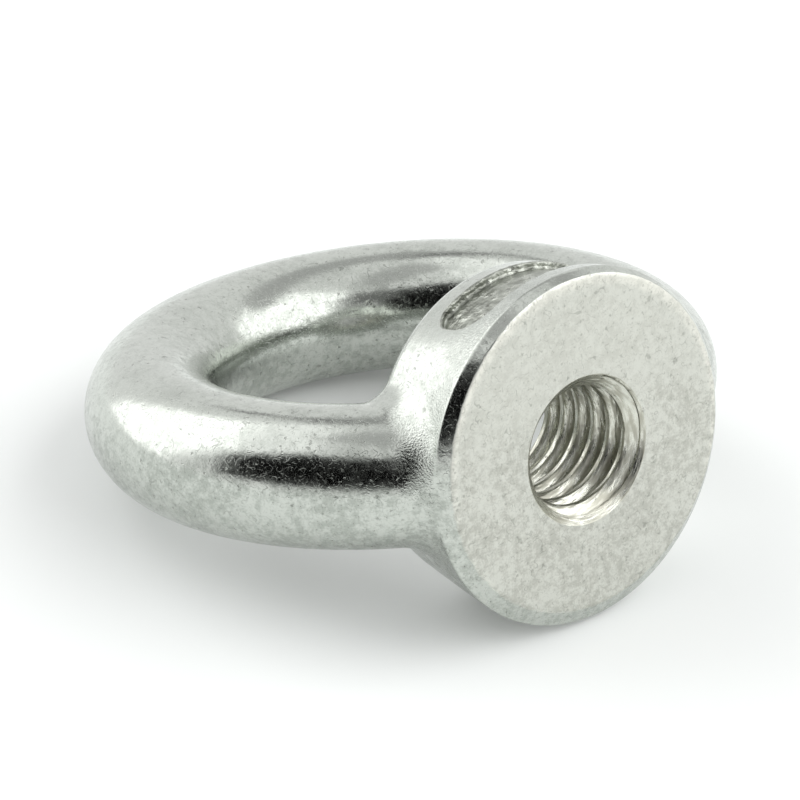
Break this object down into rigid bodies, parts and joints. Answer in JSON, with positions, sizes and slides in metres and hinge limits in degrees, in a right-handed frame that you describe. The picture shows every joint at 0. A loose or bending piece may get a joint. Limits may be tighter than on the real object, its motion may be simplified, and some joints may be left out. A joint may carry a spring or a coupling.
{
  "type": "lifting eye nut",
  "caption": "Cast stainless steel lifting eye nut: a round ring on a domed collar with a threaded bore and a recessed panel, for lifting or lashing a load on a stud.",
  "frame": {"origin": "centre of the seating face, at the mouth of the threaded bore", "axes": "+Z along the bore from the seating face towards the ring, +X across the ring, -Y towards the side with the recessed panel"},
  "size_m": [0.0358, 0.0196, 0.0341],
  "materials": {
    "stainless": "satin, finely cast"
  },
  "bodies": {
    "root": {"eye_nut": "stainless"}
  },
  "joints": []
}
